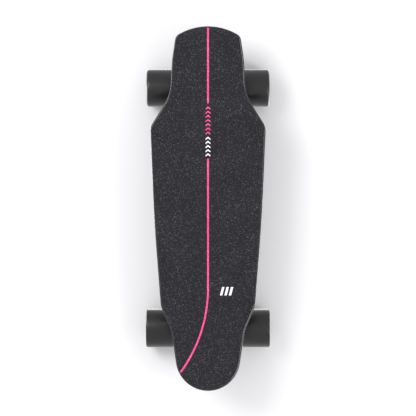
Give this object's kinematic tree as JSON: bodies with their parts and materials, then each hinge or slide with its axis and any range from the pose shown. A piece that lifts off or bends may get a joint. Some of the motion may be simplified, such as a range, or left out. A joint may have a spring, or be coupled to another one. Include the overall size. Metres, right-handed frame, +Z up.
{
  "type": "electric skateboard",
  "caption": "Compact electric skateboard: moulded hull with battery bay, gripped deck, steering trucks, free front wheels and hub-motor rear wheels.",
  "frame": {"origin": "centre of the board's footprint on the ground", "axes": "+Y to the nose, +X to the rider's right seen from above with the nose away, +Z up"},
  "size_m": [0.242, 0.7, 0.1382],
  "materials": {
    "hull": "moulded gloss black",
    "panel": "moulded composite",
    "grip": "gritty charcoal",
    "stripe": "printed pink",
    "zinc": "zinc plated",
    "black_steel": "black oxide",
    "brass": "turned",
    "truck_black": "powder coated",
    "silver": "turned, bright",
    "urethane": "cast urethane",
    "core": "moulded",
    "steel": "ground",
    "bushing": "cast urethane",
    "rubber": "moulded",
    "cell": "wrapped cells",
    "holder": "moulded",
    "nickel": "rolled strip",
    "board": "circuit board",
    "case": "extruded",
    "wire": "insulated",
    "motor": "satin black",
    "iron": "laminated",
    "copper": "wound"
  },
  "bodies": {
    "deck": {"hull_shell": "hull", "deck_panel": "panel", "grip_tape": "grip", "pinstripe": "stripe", "deck_screws": "black_steel", "truck_inserts": "brass", "truck_screws": "black_steel", "riser_pads": "rubber", "battery_cells": "cell", "battery_holders": "holder", "battery_links": "nickel", "bms_board": "board", "controller_case": "case", "controller_board": "board", "battery_leads": "wire", "charge_port": "holder", "power_button_bezel": "silver", "cable_clamp": "silver", "cable_clamp_screw": "black_steel", "left_motor_cable": "rubber", "right_motor_cable": "rubber", "front_baseplate": "truck_black", "rear_baseplate": "truck_black", "pivot_cups": "rubber", "kingpins": "zinc", "kingpin_nuts": "zinc", "bushing_washers": "zinc", "front_bushing_top": "bushing", "front_bushing_bottom": "bushing", "rear_bushing_top": "bushing", "rear_bushing_bottom": "bushing"},
    "power_button": {"power_button": "silver"},
    "front_hanger": {"front_hanger": "truck_black", "front_axle": "steel", "front_axle_nuts": "zinc", "front_speed_washers": "zinc", "front_bearing_inners": "zinc"},
    "rear_hanger": {"rear_hanger": "truck_black", "rear_axle": "steel", "axle_collars": "silver", "stators": "iron", "stator_windings": "copper", "rear_bearing_inners": "steel"},
    "front_left_wheel": {"front_left_tyre": "urethane", "front_left_core": "core", "front_left_bearing_outers": "zinc"},
    "rear_left_wheel": {"rear_left_tyre": "urethane", "rear_left_motor_can": "motor", "rear_left_end_bell": "silver", "rear_left_magnets": "iron", "rear_left_bearing_outers": "steel"},
    "front_right_wheel": {"front_right_tyre": "urethane", "front_right_core": "core", "front_right_bearing_outers": "zinc"},
    "rear_right_wheel": {"rear_right_tyre": "urethane", "rear_right_motor_can": "motor", "rear_right_end_bell": "silver", "rear_right_magnets": "iron", "rear_right_bearing_outers": "steel"}
  },
  "joints": [
    {"name": "front_steer", "type": "hinge", "parent": "deck", "child": "front_hanger", "pos_m": [0, 0.2408, 0.0555], "axis": [0, 0.6428, 0.766], "range_deg": [-12, 12], "stiffness_Nm_per_rad": 60, "deforming": ["front_bushing_top", "front_bushing_bottom"]},
    {"name": "rear_steer", "type": "hinge", "parent": "deck", "child": "rear_hanger", "pos_m": [0, -0.246, 0.0565], "axis": [0, -0.6428, 0.766], "range_deg": [-12, 12], "stiffness_Nm_per_rad": 60, "deforming": ["rear_bushing_top", "rear_bushing_bottom", "left_motor_cable", "right_motor_cable"]},
    {"name": "front_left_wheel_spin", "type": "hinge", "parent": "front_hanger", "child": "front_left_wheel", "pos_m": [-0.09, 0.2355, 0.0365], "axis": [1, 0, 0], "continuous": true},
    {"name": "front_right_wheel_spin", "type": "hinge", "parent": "front_hanger", "child": "front_right_wheel", "pos_m": [0.09, 0.2355, 0.0365], "axis": [1, 0, 0], "continuous": true},
    {"name": "rear_left_wheel_spin", "type": "hinge", "parent": "rear_hanger", "child": "rear_left_wheel", "pos_m": [-0.09, -0.2355, 0.0375], "axis": [1, 0, 0], "continuous": true},
    {"name": "rear_right_wheel_spin", "type": "hinge", "parent": "rear_hanger", "child": "rear_right_wheel", "pos_m": [0.09, -0.2355, 0.0375], "axis": [1, 0, 0], "continuous": true},
    {"name": "power_button_press", "type": "slide", "parent": "deck", "child": "power_button", "axis": [0, 0, 1], "range_m": [0, 0.0012], "stiffness_N_per_m": 700, "springref_m": -0.0005}
  ]
}
